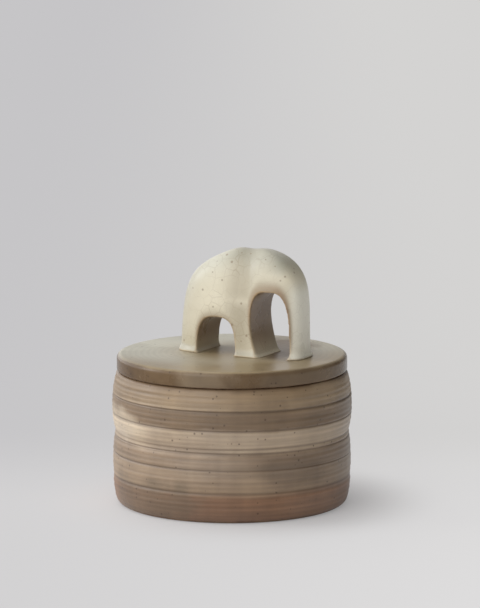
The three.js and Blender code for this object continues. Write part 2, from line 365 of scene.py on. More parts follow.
def jar_outline():
    """Foot recess, foot ring, outside from foot to rim, mouth, cavity wall and floor."""
    foot = FOOT_ROUND * (1.0 - np.cos(np.linspace(0.0, np.pi / 2, 9)[:-1]))
    wall = np.linspace(FOOT_ROUND, JAR_HEIGHT - RIM_ROUND, 150)[:-1]
    scored = (SCORED_HEIGHTS[:, None] + np.linspace(-2.0, 2.0, 13) * SCORED_WIDTH).ravel()
    rim = JAR_HEIGHT - RIM_ROUND * (1.0 - np.sin(np.linspace(0.0, np.pi / 2, 8)))
    heights = np.unique(np.concatenate([foot, wall, scored, GROOVE_HEIGHTS[1:3], rim]))
    outside = np.stack([jar_radius(heights), heights], axis=-1)
    ring_inner = outside[0, 0] - FOOT_RING_WIDTH
    mouth_foot = JAR_HEIGHT - MOUTH_DEPTH
    shoulder_foot = mouth_foot - 2.0 * (CAVITY_RADIUS - MOUTH_RADIUS)
    underneath = rounded_outline([
        (0.0, FOOT_RECESS, 0.0),
        (ring_inner - FOOT_RECESS, FOOT_RECESS, 1.0 * MM),
        (ring_inner, 0.0, 0.6 * MM),
        (outside[0, 0], 0.0, 0.0),
    ], 4.0 * MM)
    inside = rounded_outline([
        (outside[-1, 0], JAR_HEIGHT, 0.0),
        (MOUTH_RADIUS, JAR_HEIGHT, 0.5 * MM),
        (MOUTH_RADIUS, mouth_foot, 0.8 * MM),
        (CAVITY_RADIUS, shoulder_foot, 0.8 * MM),
        (CAVITY_RADIUS, CAVITY_FLOOR, CAVITY_ROUND),
        (0.0, CAVITY_FLOOR, 0.0),
    ], 1.8 * MM)
    return np.concatenate([underneath[:-1], outside, inside[1:]])


def ridges(turn, radius, height):
    """Spiral ripples left by the fingers, from -1 to 1: two sines of height less the turn."""
    fine = np.sin(2.0 * np.pi * height / FINE_RIDGE_PITCH - turn)
    broad = np.sin(2.0 * np.pi * height / BROAD_RIDGE_PITCH - 2.0 * turn + 1.0)
    return 0.58 * fine + 0.42 * broad


def scored_here(turn, radius, height):
    """1 in a scored line or a groove of the outer wall, 0 between them."""
    lines = np.concatenate([SCORED_HEIGHTS, GROOVE_HEIGHTS[1:3]])
    near = np.exp(-(((height[..., None] - lines) / (1.6 * SCORED_WIDTH)) ** 2)).sum(axis=-1)
    return near * (radius > OUTER_WALL)


def thrown_wall(turn, radius, height):
    """The radius with spiral ripples and a slow wobble on the outer wall, and broader ripples on
    the cavity's wall."""
    outer = soft_step(OUTER_WALL, OUTER_WALL + 1.5 * MM, radius)
    outer = outer * soft_step(1.0 * MM, 6.0 * MM, height)
    outer = outer * soft_step(0.0, 4.0 * MM, JAR_HEIGHT - height)
    wobble = WOBBLE * np.sin(2.0 * turn + height / (14.0 * MM))
    inner = soft_step(58.0 * MM, 57.3 * MM, radius) * soft_step(50.0 * MM, 57.0 * MM, radius)
    inner = inner * soft_step(CAVITY_FLOOR, CAVITY_FLOOR + 10.0 * MM, height)
    inner = inner * soft_step(0.0, 4.0 * MM, JAR_HEIGHT - MOUTH_DEPTH - height)
    finger = FINGER_MARK_HEIGHT * np.sin(2.0 * np.pi * height / FINGER_MARK_PITCH - turn)
    return radius + outer * (RIDGE_HEIGHT * ridges(turn, radius, height) + wobble) + inner * finger


# Shader helpers

FLOAT = "NodeSocketFloat"
VECTOR = "NodeSocketVector"
COLOUR = "NodeSocketColor"


def srgb(red, green, blue):
    """A colour as a monitor shows it, 0 to 255, in linear light."""
    shares = np.array([red, green, blue]) / 255.0
    linear = np.where(shares <= 0.04045, shares / 12.92, ((shares + 0.055) / 1.055) ** 2.4)
    return tuple(float(value) for value in linear) + (1.0,)


def grey(value):
    """A plain grey to multiply a colour by."""
    return (value, value, value, 1.0)


def connect(socket, value):
    """Links another node's output to a socket, or sets the socket to a value."""
    if isinstance(value, bpy.types.NodeSocket):
        socket.id_data.links.new(value, socket)
    else:
        socket.default_value = value


def feed(node, **values):
    """Links or sets a node's inputs; underscores stand for spaces."""
    for name, value in values.items():
        connect(node.inputs[name.replace("_", " ")], value)


def add(kind, inputs, tree=None, **settings):
    """A node with its settings; each input is a value or another node's output. It joins the tree
    given, or that of the first output among its inputs."""
    sockets = [value for value in inputs.values() if isinstance(value, bpy.types.NodeSocket)]
    made = (tree or sockets[0].id_data).nodes.new(kind)
    for name, value in settings.items():
        setattr(made, name, value)
    for name, value in inputs.items():
        connect(made.inputs[name], value)
    return made


def calc(operation, first, second=0.0, clamp=False):
    """One arithmetic step; gives its output."""
    inputs = {0: first, 1: second}
    return add("ShaderNodeMath", inputs, operation=operation, use_clamp=clamp).outputs[0]


times = partial(calc, "MULTIPLY")
plus = partial(calc, "ADD")
minus = partial(calc, "SUBTRACT")
higher = partial(calc, "MAXIMUM")


def centred(value, width):
    """A noise about 0.5 moved to about 0 and multiplied by a width."""
    return times(minus(value, 0.5), width)


def vector(operation, first, second=(0.0, 0.0, 0.0)):
    """One step of vector arithmetic; gives its node's outputs."""
    return add("ShaderNodeVectorMath", {0: first, 1: second}, operation=operation).outputs


def split(place):
    """A place's three coordinates."""
    return add("ShaderNodeSeparateXYZ", {0: place}).outputs


def span(value, low, high, to_low=0.0, to_high=1.0):
    """A value carried smoothly from one range to another, kept inside it."""
    inputs = {"Value": value, "From Min": low, "From Max": high, "To Min": to_low,
              "To Max": to_high}
    return add("ShaderNodeMapRange", inputs, interpolation_type="SMOOTHSTEP").outputs["Result"]


def mixed(share, first, second, blend="MIX"):
    """Two colours mixed by a share."""
    colours = {0: share, 6: first, 7: second}
    return add("ShaderNodeMix", colours, data_type="RGBA", blend_type=blend).outputs[2]


def multiplied(first, second):
    """Two colours multiplied."""
    return mixed(1.0, first, second, "MULTIPLY")


def ramp(share, stops):
    """A colour ramp from (place, colour) stops."""
    made = add("ShaderNodeValToRGB", {"Fac": share})
    elements = made.color_ramp.elements
    while len(elements) < len(stops):
        elements.new(0.5)
    for element, (place, colour) in zip(elements, stops):
        element.position = place
        element.color = colour
    return made.outputs["Color"]


def varied(cloud, weak, strong):
    """One colour where a noise is weak, going over to another where it is strong."""
    return ramp(cloud, [(0.3, weak), (0.7, strong)])


def noise(place, scale, detail=3.0, roughness=0.55):
    """Smooth noise from 0 to 1 about 0.5, in features of 1 / scale metres."""
    inputs = {"Vector": place, "Scale": scale, "Detail": detail, "Roughness": roughness}
    return add("ShaderNodeTexNoise", inputs).outputs["Fac"]


def stretched(place, across, up):
    """Coordinates scaled level by one number and upright by another."""
    return vector("MULTIPLY", place, (across, across, up))[0]


def from_axis(place):
    """Distance from the jar's axis, and height."""
    axes = split(place)
    level = add("ShaderNodeCombineXYZ", {0: axes[0], 1: axes[1]}).outputs[0]
    return vector("LENGTH", level)["Value"], axes[2]


def spots(place, scale, channel, rarity, size, softness):
    """Round spots in those cells of a net whose colour channel is above the rarity, the larger
    the higher it is."""
    cells = add("ShaderNodeTexVoronoi", {"Vector": place, "Scale": scale}).outputs
    rank = add("ShaderNodeSeparateColor", {0: cells["Color"]}).outputs[channel]
    reach = span(rank, rarity, 1.0, 0.0, size)
    return span(minus(reach, cells["Distance"]), 0.0, softness)


def net_lines(place, scale, width):
    """1 on the edges between the cells of a net, and 0 from this width on."""
    inputs = {"Vector": place, "Scale": scale}
    cells = add("ShaderNodeTexVoronoi", inputs, feature="DISTANCE_TO_EDGE").outputs
    return span(cells["Distance"], 0.0, width, 1.0, 0.0)


def new_group(name, inputs, **outputs):
    """An empty shader group with its input and output nodes. Each input has a value, or None where
    it takes a place, and each output its kind."""
    tree = bpy.data.node_groups.new(name, "ShaderNodeTree")
    for label, value in inputs.items():
        kind = VECTOR if value is None else FLOAT
        socket = tree.interface.new_socket(label, in_out="INPUT", socket_type=kind)
        if value is not None:
            socket.default_value = value
    for label, kind in outputs.items():
        tree.interface.new_socket(label, in_out="OUTPUT", socket_type=kind)
    return tree, tree.nodes.new("NodeGroupInput").outputs, tree.nodes.new("NodeGroupOutput").inputs


def use_group(group, **values):
    """A shared effect placed in a material with its own values; underscores stand for spaces.
    Gives its outputs."""
    inputs = {name.replace("_", " "): value for name, value in values.items()}
    return add("ShaderNodeGroup", inputs, node_tree=group).outputs


def new_material(name):
    """A material, its Principled shader and its object coordinates."""
    material = bpy.data.materials.new(name)
    material.use_nodes = True
    tree = material.node_tree
    place = add("ShaderNodeTexCoord", {}, tree).outputs["Object"]
    return material, tree.nodes["Principled BSDF"], place


def painted_on(shader, name):
    """A number painted on the mesh's points."""
    return add("ShaderNodeAttribute", {}, shader.id_data, attribute_name=name).outputs["Fac"]


def set_surface(shader, colour, roughness, relief, depth, **others):
    """Gives the shader its colour, roughness, relief of a depth in metres and other inputs."""
    normal = add("ShaderNodeBump", {"Height": relief, "Distance": depth}).outputs["Normal"]
    feed(shader, Base_Color=colour, Roughness=roughness, Normal=normal, **others)


# Effects that the glazes share

def make_glaze_group():
    """Glaze texture: cloudy mottling, iron specks of several sizes, pinholes and orange peel."""
    tree, given, result = new_group("glaze_texture", {"Place": None, "Speck Scale": 500.0},
                                    Mottle=FLOAT, Specks=FLOAT, Height=FLOAT)
    place = given["Place"]
    specks = spots(place, given["Speck Scale"], 0, 0.80, 0.36, 0.14)
    holes = spots(place, 260.0, 1, 0.90, 0.12, 0.05)
    peel = noise(place, 420.0, 2.0, 0.5)
    height = minus(peel, times(holes, 1.6))
    connect(result["Mottle"], noise(place, 42.0, 5.0, 0.6))
    connect(result["Specks"], specks)
    connect(result["Height"], plus(height, times(specks, 0.25)))
    return tree


def make_rings_group():
    """Rings left by turning: fine and broad ripples of the distance from the axis, drifting with
    the height and broken by noise."""
    tree, given, result = new_group(
        "turning_rings", {"Place": None, "Distance": 0.0, "Pitch": 2.0 * MM}, Rings=FLOAT)
    drift = times(noise(given["Place"], 30.0, 2.0), 1.5 * MM)
    share = calc("DIVIDE", plus(given["Distance"], drift), given["Pitch"])
    broad = calc("SINE", times(share, 2.0 * math.pi))
    fine = calc("SINE", times(share, 7.4 * math.pi))
    both = plus(times(broad, 0.35), times(fine, 0.15))
    connect(result["Rings"], plus(both, 0.5))
    return tree


def make_crazing_group():
    """Crazing: thin lines between the cells of a fine and a coarse net, bent by noise."""
    tree, given, result = new_group("crazing", {"Place": None, "Scale": 150.0}, Lines=FLOAT)
    bent = add("ShaderNodeTexNoise", {"Vector": given["Place"], "Scale": 90.0, "Detail": 2.0})
    shift = vector("MULTIPLY", bent.outputs["Color"], (3.0 * MM, 3.0 * MM, 3.0 * MM))[0]
    place = vector("ADD", given["Place"], shift)[0]
    strong = net_lines(place, given["Scale"], 0.035)
    weak = times(net_lines(place, times(given["Scale"], 2.3), 0.045), 0.45)
    patchy = span(noise(given["Place"], 35.0, 2.0), 0.42, 0.60, 0.25, 1.0)
    connect(result["Lines"], times(higher(strong, weak), patchy))
    return tree


def make_patch_group():
    """A soft patch, used for gathered glaze and slip and for painted highlight and shade: 1 in the
    middle of an ellipsoid and 0 outside it, its edge bent in and out by noise."""
    tree, given, result = new_group(
        "glaze_and_light_patch", {"Place": None, "Centre": None, "Halves": None}, Patch=FLOAT)
    offset = vector("SUBTRACT", given["Place"], given["Centre"])[0]
    reach = vector("LENGTH", vector("DIVIDE", offset, given["Halves"])[0])["Value"]
    bend = centred(noise(given["Place"], 55.0, 3.0), 1.6)
    connect(result["Patch"], span(plus(reach, bend), 1.25, 0.45))
    return tree


def make_clay_group():
    """Unglazed stoneware: a toasted clay with pale and dark grit."""
    tree, given, result = new_group("bare_clay", {"Place": None}, Color=COLOUR)
    toast = span(noise(given["Place"], 60.0, 4.0), 0.35, 0.65)
    grit = ramp(noise(given["Place"], 1400.0, 2.0, 0.7),
                [(0.32, grey(0.72)), (0.5, grey(1.0)), (0.72, grey(1.3))])
    toasted = mixed(toast, srgb(138, 112, 88), srgb(112, 84, 62))
    connect(result["Color"], multiplied(toasted, grit))
    return tree


def make_liner_group():
    """The pale glaze inside: mottled, with faint specks."""
    tree, given, result = new_group("liner_glaze", {"Mottle": 0.5, "Specks": 0.0}, Color=COLOUR)
    liner = varied(given["Mottle"], srgb(150, 134, 106), srgb(172, 158, 130))
    connect(result["Color"], mixed(times(given["Specks"], 0.35), liner, srgb(84, 62, 42)))
    return tree


glaze_texture = make_glaze_group()
turning_rings = make_rings_group()
crazing = make_crazing_group()
glaze_and_light_patch = make_patch_group()
bare_clay = make_clay_group()
liner_glaze = make_liner_group()

# The jar's bands from the foot up: height in millimetres and colour
BAND_TONES = [
    (0.0, (122, 95, 76)),
    (14.0, (128, 96, 72)),
    (18.0, (148, 127, 104)),
    (28.0, (150, 131, 110)),
    (31.5, (134, 115, 95)),
    (37.0, (137, 118, 98)),
    (40.5, (176, 158, 136)),
    (49.5, (178, 160, 138)),
    (52.5, (124, 104, 82)),
    (60.0, (126, 106, 84)),
    (63.0, (154, 134, 108)),
    (71.0, (148, 126, 98)),
    (73.4, (104, 84, 62)),
]

# Paler and darker patches on the outer wall, partly slip lying thicker and thinner and partly
# painted highlight and shade; the first, at the left side of the pale band, is a painted
# highlight: centre and half extents in millimetres, colour and strength
SLIP_AND_LIGHT_PATCHES = [
    ((-62, -10, 48.5), (22, 60, 9), (206, 192, 170), 0.55),
    ((-34, -55, 41.5), (24, 30, 7), (146, 128, 108), 0.45),
    ((-46, -46, 8), (32, 40, 15), (100, 88, 72), 0.60),
    ((-12, -64, 32), (24, 30, 7), (172, 154, 134), 0.40),
    ((35, -55, 27), (24, 30, 9), (92, 76, 62), 0.35),
    ((15, -64, 61), (18, 30, 7), (96, 78, 62), 0.35),
    ((-58, -30, 69), (28, 40, 8), (112, 92, 70), 0.40),
    ((50, -40, 68), (16, 30, 10), (170, 150, 124), 0.40),
    ((46, -44, 7), (22, 30, 10), (160, 128, 104), 0.40),
]
# A painted shadow of the handle on the lid's top, behind its tall arch and right leg: centre and
# half extents in millimetres, colour and strength
PAINTED_HANDLE_SHADOW = ((29, 16, 80), (15, 48, 200), (100, 80, 56), 0.95)
# Patches over the lid's edge, centre and half extents in millimetres, colour and strength: the pale
# ones at the front left and the front right are painted highlights, and the third makes the lid
# darker on the left
EDGE_PATCHES = [
    ((-15, -58, 80), (15, 38, 200), (172, 156, 132), 0.30),
    ((-50, -20, 80), (28, 44, 200), (70, 54, 36), 0.20),
    ((44, -48, 80), (30, 26, 200), (150, 134, 112), 0.25),
]


# Materials

def patched(place, colour, patches):
    """A colour with others over it, each in its soft patch and as strong as given; the patches are
    gathered glaze and slip, and painted highlight and shade.
    """
    for centre, halves, other, strength in patches:
        centre = tuple(value * MM for value in centre)
        halves = tuple(value * MM for value in halves)
        here = use_group(glaze_and_light_patch, Place=place, Centre=centre, Halves=halves)["Patch"]
        colour = mixed(times(here, strength), colour, srgb(*other))
    return colour


def make_jar_glaze():
    """Level bands of brushed slip with paler and darker patches, partly slip lying thicker and
    partly painted highlight and shade, under a satin glaze that is thin and pale on the throwing
    ridges and dark in the grooves; a liner glaze inside; bare clay at the foot and the rim."""
    material, shader, place = new_material("jar_glaze")
    texture = use_group(glaze_texture, Place=place)
    mottle = texture["Mottle"]
    radius, height = from_axis(place)

    brush = noise(stretched(place, 16.0, 430.0), 1.0, 3.0, 0.5)
    drift = plus(centred(mottle, 4.5 * MM), centred(brush, 2.5 * MM))
    bands = ramp(calc("DIVIDE", plus(height, drift), JAR_HEIGHT),
                 [(level * MM / JAR_HEIGHT, srgb(*tone)) for level, tone in BAND_TONES])
    runs = noise(stretched(place, 110.0, 9.0), 1.0, 2.0)
    ridge = plus(times(painted_on(shader, "ridge"), 0.5), 0.5)
    layers = [
        varied(brush, grey(0.86), grey(1.14)),
        varied(mottle, (0.90, 0.90, 0.92, 1.0), (1.10, 1.09, 1.06, 1.0)),
        ramp(runs, [(0.35, grey(0.95)), (0.65, grey(1.05))]),
        ramp(ridge, [(0.0, grey(0.93)), (1.0, (1.07, 1.06, 1.04, 1.0))]),
    ]
    # Patches of slip, and painted highlight and shade, over the bands
    outside = patched(place, bands, SLIP_AND_LIGHT_PATCHES)
    for layer in layers:
        outside = multiplied(outside, layer)
    outside = mixed(times(painted_on(shader, "scored"), 0.45), outside, srgb(70, 52, 38))
    outside = mixed(times(texture["Specks"], 0.6), outside, srgb(58, 40, 30))

    within_wall = span(radius, WALL_MIDDLE + 0.2 * MM, WALL_MIDDLE - 0.2 * MM)
    in_cavity = times(within_wall, span(height, 4.0 * MM, 5.0 * MM))
    liner = use_group(liner_glaze, Mottle=mottle, Specks=texture["Specks"])["Color"]
    shown = mixed(in_cavity, outside, liner)

    foot_line = span(plus(height, centred(mottle, 1.6 * MM)), 1.6 * MM, 1.2 * MM)
    underneath = times(within_wall, span(height, 4.4 * MM, 3.6 * MM))
    rim_seat = times(span(height, JAR_HEIGHT - 0.25 * MM, JAR_HEIGHT - 0.1 * MM),
                     span(radius, RIM_FLAT + 0.3 * MM, RIM_FLAT - 0.3 * MM))
    bare = higher(higher(foot_line, underneath), rim_seat)
    shown = mixed(bare, shown, use_group(bare_clay, Place=place)["Color"])

    satin = span(mottle, 0.3, 0.7, 0.34, 0.48)
    satin = minus(satin, times(in_cavity, 0.12))
    rough = plus(satin, times(bare, 0.38))
    rings = use_group(turning_rings, Place=place, Distance=radius, Pitch=6.0 * MM)["Rings"]
    rings = times(times(rings, span(radius, 53.0 * MM, 50.0 * MM)), 1.6)
    grain = plus(texture["Height"], times(brush, 0.6))
    set_surface(shader, shown, rough, plus(grain, rings), 0.09 * MM, Specular_IOR_Level=0.5)
    return material


def make_lid_glaze():
    """A dark glossy glaze at the edge; a tan top, pale and ashen towards the sides, the rear and
    the left, partly ashen glaze and partly a painted sheen and painted light from the left; a
    painted shadow of the handle behind its tall arch and right leg; painted highlights and a darker
    patch over the edge; turning rings; a liner glaze under the plate; bare clay where the lid sits
    on the jar."""
    material, shader, place = new_material("lid_glaze")
    texture = use_group(glaze_texture, Place=place, Speck_Scale=420.0)
    mottle = texture["Mottle"]
    radius, height = from_axis(place)
    x, y, _ = split(place)
    rings = use_group(turning_rings, Place=place, Distance=radius, Pitch=3.4 * MM)["Rings"]

    drift = centred(mottle, 1.5 * MM)
    on_top = span(plus(height, drift), LID_TOP - 1.2 * MM, LID_TOP - 0.1 * MM)
    edge = varied(mottle, srgb(82, 63, 42), srgb(113, 91, 64))
    tan = varied(mottle, srgb(132, 115, 85), srgb(154, 137, 106))
    # Pale and ashen towards the sides, the rear and the left, weaker to the right: partly ashen
    # glaze, partly a painted sheen and painted light from the left
    ash_and_painted_light = varied(mottle, srgb(174, 171, 154), srgb(196, 193, 179))
    outer = span(plus(radius, times(drift, 6.0)), 6.0 * MM, 52.0 * MM)
    aside = calc("ABSOLUTE", plus(x, 18.0 * MM))
    rear = span(minus(y, times(aside, 0.5)), -55.0 * MM, -20.0 * MM)
    right = span(x, -10.0 * MM, 50.0 * MM, 1.0, 0.65)
    ash_and_sheen = times(times(outer, rear), right)
    # The top, with a painted shadow of the handle behind its tall arch
    top = patched(place, mixed(ash_and_sheen, tan, ash_and_painted_light), [PAINTED_HANDLE_SHADOW])
    ringed = ramp(rings, [(0.0, grey(0.95)), (1.0, grey(1.05))])
    shown = mixed(on_top, edge, multiplied(top, ringed))
    # Painted highlights, and a darker patch, over the edge
    shown = patched(place, shown, EDGE_PATCHES)
    shown = mixed(times(texture["Specks"], 0.5), shown, srgb(48, 34, 26))

    within_flange = span(radius, FLANGE_RADIUS - 1.6 * MM, FLANGE_RADIUS - 2.2 * MM)
    past_flange = span(radius, FLANGE_RADIUS - 2.2 * MM, FLANGE_RADIUS - 1.6 * MM)
    uneven = plus(height, centred(mottle, 1.0 * MM))
    bare = times(span(uneven, LID_SEAT + 0.5 * MM, LID_SEAT + 0.2 * MM), past_flange)
    low = span(height, LID_UNDERSIDE + 0.6 * MM, LID_UNDERSIDE + 0.4 * MM)
    underside = times(low, within_flange)
    liner = use_group(liner_glaze, Mottle=mottle, Specks=texture["Specks"])["Color"]
    shown = mixed(underside, shown, liner)
    shown = mixed(bare, shown, use_group(bare_clay, Place=place)["Color"])

    gloss = span(mottle, 0.3, 0.7, 0.20, 0.30)
    dulled = times(on_top, plus(times(ash_and_sheen, 0.10), 0.10))
    rough = plus(plus(gloss, dulled), times(bare, 0.45))
    relief = plus(times(texture["Height"], 0.7), times(rings, 0.8))
    set_surface(shader, shown, rough, relief, 0.04 * MM, Specular_IOR_Level=0.3)
    return material


def make_handle_glaze():
    """A glossy cream glaze with crazing, worn thin and tan on the edges, with painted light and
    shade: lighter on the right leg, a painted light; cooler and darker on faces turned up and to
    the left, partly ashen glaze and partly painted shade that tones down the light there; a cool
    painted shade on the right shoulder; grey-brown, mostly painted shade, in the crease, on the
    legs and the right lobe, at the left end and round the arches; and brown inside the arches,
    partly stained and partly painted shade of the recess."""
    material, shader, place = new_material("handle_glaze")
    texture = use_group(glaze_texture, Place=place, Speck_Scale=380.0)
    mottle = texture["Mottle"]
    lines = use_group(crazing, Place=place, Scale=150.0)["Lines"]
    shown = varied(mottle, srgb(211, 203, 177), srgb(224, 217, 195))
    # Painted light: the right leg lighter
    shown = mixed(painted_on(shader, "pale"), shown, srgb(240, 237, 220))
    # Grey-brown on the legs, in the crease and round the arches: mostly painted shade, partly a
    # thin brown glaze, varied by the mottling
    wash_and_painted_shade = painted_on(shader, "wash_and_painted_shade")
    wash_and_painted_shade = plus(wash_and_painted_shade, times(centred(mottle, 0.6), wash_and_painted_shade), clamp=True)
    # Tints: cool on faces turned up and to the left, partly ashen glaze, partly painted shade; the
    # grey-brown painted shade; painted shade on the right shoulder
    tints = [
        (painted_on(shader, "ash_and_painted_light"), (0.72, 0.76, 0.80, 1.0)),
        (wash_and_painted_shade, (0.60, 0.57, 0.53, 1.0)),
        (painted_on(shader, "shade"), (0.70, 0.72, 0.72, 1.0)),
    ]
    for share, tint in tints:
        shown = mixed(share, shown, multiplied(shown, tint))
    # Brown inside the arches: partly stained glaze, partly painted shade of the deep recess
    stain_and_recess_shade = varied(mottle, srgb(132, 109, 84), srgb(158, 134, 107))
    shown = mixed(painted_on(shader, "hollow"), shown, stain_and_recess_shade)
    worn = times(painted_on(shader, "edge"), span(mottle, 0.35, 0.6, 0.25, 0.6))
    shown = mixed(worn, shown, srgb(176, 150, 112))
    shown = mixed(times(lines, 0.30), shown, srgb(128, 104, 74))
    shown = mixed(times(texture["Specks"], 0.5), shown, srgb(112, 84, 58))
    rough = span(mottle, 0.3, 0.7, 0.26, 0.36)
    relief = minus(texture["Height"], times(lines, 0.5))
    set_surface(shader, shown, rough, relief, 0.05 * MM, Specular_IOR_Level=0.5)
    return material


def make_brass():
    """Turned brass, dulled and browned in patches, with fine tool marks round each piece's axis."""
    material, shader, place = new_material("brass")
    distance = painted_on(shader, "from_axis")
    marks = use_group(turning_rings, Place=place, Distance=distance, Pitch=0.5 * MM)["Rings"]
    patches = noise(place, 240.0, 4.0, 0.6)
    bright = ramp(noise(place, 900.0),
                  [(0.35, (0.60, 0.44, 0.20, 1.0)), (0.65, (0.74, 0.57, 0.29, 1.0))])
    dull = times(span(patches, 0.48, 0.66), 0.7)
    shown = mixed(dull, bright, (0.26, 0.16, 0.07, 1.0))
    set_surface(shader, shown, span(patches, 0.3, 0.7, 0.24, 0.48), marks, 0.015 * MM, Metallic=1.0)
    return material


def make_leather():
    """Oak-bark leather: a fibrous cut edge, a pebbled face and darker rubbed patches."""
    material, shader, place = new_material("washer_leather")
    fibres = noise(stretched(place, 500.0, 2600.0), 1.0, 4.0, 0.65)
    pebbles = add("ShaderNodeTexVoronoi", {"Vector": place, "Scale": 1500.0}).outputs["Distance"]
    rubbed = times(span(noise(place, 260.0, 3.0), 0.40, 0.65), 0.55)
    hide = varied(fibres, srgb(104, 66, 38), srgb(150, 102, 62))
    shown = mixed(rubbed, hide, srgb(78, 48, 30))
    rough = span(fibres, 0.3, 0.7, 0.72, 0.9)
    relief = plus(fibres, times(pebbles, 0.6))
    set_surface(shader, shown, rough, relief, 0.07 * MM, Specular_IOR_Level=0.35)
    return material


# Lid

def lid_outline():
    """Underside of the plate, flange, seat, rounded edge and flat top."""
    flange_inner = FLANGE_RADIUS - FLANGE_WALL
    flange_bottom = LID_LOW[2]
    return rounded_outline([
        (0.0, LID_UNDERSIDE, 0.0),
        (flange_inner, LID_UNDERSIDE, 1.4 * MM),
        (flange_inner, flange_bottom, 0.7 * MM),
        (FLANGE_RADIUS, flange_bottom, FLANGE_ROUND),
        (FLANGE_RADIUS, LID_SEAT, 0.4 * MM),
        (LID_RADIUS, LID_SEAT, LID_BOTTOM_ROUND),
        (LID_RADIUS, LID_TOP, LID_TOP_ROUND),
        (0.0, LID_TOP, 0.0),
    ], 1.6 * MM)


def hand_turned_edge(turn, radius, height):
    """The radius with a barely uneven edge: two slow waves round the rim."""
    at_edge = soft_step(60.5 * MM, 62.5 * MM, radius)
    return radius + at_edge * MM * (0.08 * np.sin(2.0 * turn + 0.6) + 0.05 * np.sin(5.0 * turn))


def upright_bar(name, place, radius, low, high, material):
    """A plain round bar, used to cut a hole."""
    corners = [(0.0, low, 0.0), (radius, low, 0.0), (radius, high, 0.0), (0.0, high, 0.0)]
    return turned(name, rounded_outline(corners, 20.0 * MM), material, centre=place, steps=48)


def make_lid(material):
    """The turned lid with a hole for each stud."""
    lid = turned("lid_plate", lid_outline(), material, shape=hand_turned_edge)
    for name, place in stud_places.items():
        ends = (LID_LOW[2], LID_TOP + MM)
        cut_with(lid, upright_bar(f"stud_hole_{name}", place, STUD_BORE, *ends, material))
    return lid


# Handle

def signed_power(value, power):
    """A power that keeps the value's sign."""
    return np.sign(value) * np.abs(value) ** power


def loaf_points(rows, columns):
    """The handle before its arches are cut: a superellipse in plan whose size falls off towards
    the crown, with a crease over the middle leg, a lower left lobe and a flared foot."""
    level = np.linspace(0.0, 1.0, rows, endpoint=False)[:, None]
    turn = np.linspace(0.0, 2.0 * np.pi, columns, endpoint=False)[None, :]
    rise = 1.0 - (1.0 - level) ** 2
    size = np.clip(1.0 - rise ** SIDE_CREST, 0.0, 1.0) ** (1.0 / TOP_CREST)
    flare = FOOT_FLARE * (1.0 - soft_step(0.0, FOOT_FLARE_HEIGHT, rise * HANDLE_HEIGHT))
    across = signed_power(np.cos(turn), 2.0 / PLAN_CREST)
    through = signed_power(np.sin(turn), 2.0 / PLAN_CREST)
    half_length = HANDLE_LENGTH / 2 - FOOT_FLARE - CROWN_NARROWING * rise
    u = across * (size * half_length + flare) + CROWN_SHIFT * rise * rise
    crease = np.exp(-(((u - CREASE_PLACE) / CREASE_WIDTH) ** 2))
    crease_here = crease * soft_step(CREASE_FOOT, CREASE_FULL, rise * HANDLE_HEIGHT)
    half = HANDLE_DEPTH / 2 - FOOT_FLARE - CREASE_DEPTH * crease_here
    drop = LEFT_LOBE_DROP * (1.0 - soft_step(-HANDLE_LENGTH / 3, CREASE_PLACE, u))
    v = through * (size * half + flare)
    z = rise * HANDLE_HEIGHT - (drop + CREASE_DIP * crease) * rise ** 3
    return np.stack([u, v, np.broadcast_to(z, u.shape)], axis=-1)


def arch_points(start, end, height, crest, lean, rows, columns):
    """An arch through the handle: a tall superellipse that widens at both mouths and draws in
    at its foot. Its left side leans in by a power of the way down from its top."""
    middle = (start + end) / 2
    half_width = (end - start) / 2
    v = np.linspace(-HANDLE_DEPTH / 2 - MM, HANDLE_DEPTH / 2 + MM, rows)[:, None]
    inward = np.clip(np.abs(v) - (HANDLE_DEPTH / 2 - ARCH_FLARE), 0.0, ARCH_FLARE)
    spread = round_loss(ARCH_FLARE - inward, ARCH_FLARE)
    quarter = np.linspace(0.0, 1.0, columns // 2) ** (crest / 2.0) * np.pi / 2.0
    angle = np.concatenate([quarter, np.pi - quarter[-2::-1]])[None, :]
    side = signed_power(np.cos(angle), 2.0 / crest)
    up = np.abs(np.sin(angle)) ** (2.0 / crest) * (height + spread)
    leaning = lean * (1.0 - up / (height + spread)) ** LEAN_POWER * (1.0 - side) / 2.0
    u = middle + side * (half_width + spread - round_loss(up + TOE, ARCH_FOOT_ROUND)) + leaning
    top = np.stack([u, np.broadcast_to(v, u.shape), up], axis=-1)
    foot = top[:, [-1, 0], :] * [1.0, 1.0, 0.0] - [0.0, 0.0, MM]
    return np.concatenate([top, foot], axis=1)


def standing_out(mesh, points):
    """How far each point stands out from the mean of its neighbours, along its normal, averaged
    three times over the neighbours."""
    ends = np.empty(len(mesh.edges) * 2, dtype=np.int64)
    mesh.edges.foreach_get("vertices", ends)
    ends = ends.reshape(-1, 2)
    near, far = np.concatenate([ends, ends[:, ::-1]]).T
    count = len(points)
    neighbours = np.bincount(near, minlength=count)
    mean = np.stack([np.bincount(near, points[far, axis], count) for axis in range(3)], axis=-1)
    height = ((points - mean / neighbours[:, None]) * mesh_normals(mesh)).sum(axis=1)
    for _ in range(3):
        height = 0.5 * height + 0.5 * np.bincount(near, height[far], count) / neighbours
    return height


def hand_marks(points):
    """A slight unevenness from shaping by hand: a sum of three slow waves of the place."""
    u, v, z = (points / MM).T
    waves = np.sin(u / 5.1 + 0.7 * np.sin(z / 7.0)) + np.sin(z / 6.3 + v / 9.0 + 1.0)
    waves = waves + np.sin((u + z) / 8.7 - v / 5.0)
    return HAND_MARKS * waves / 3.0 * soft_step(0.0, 6.0, z)


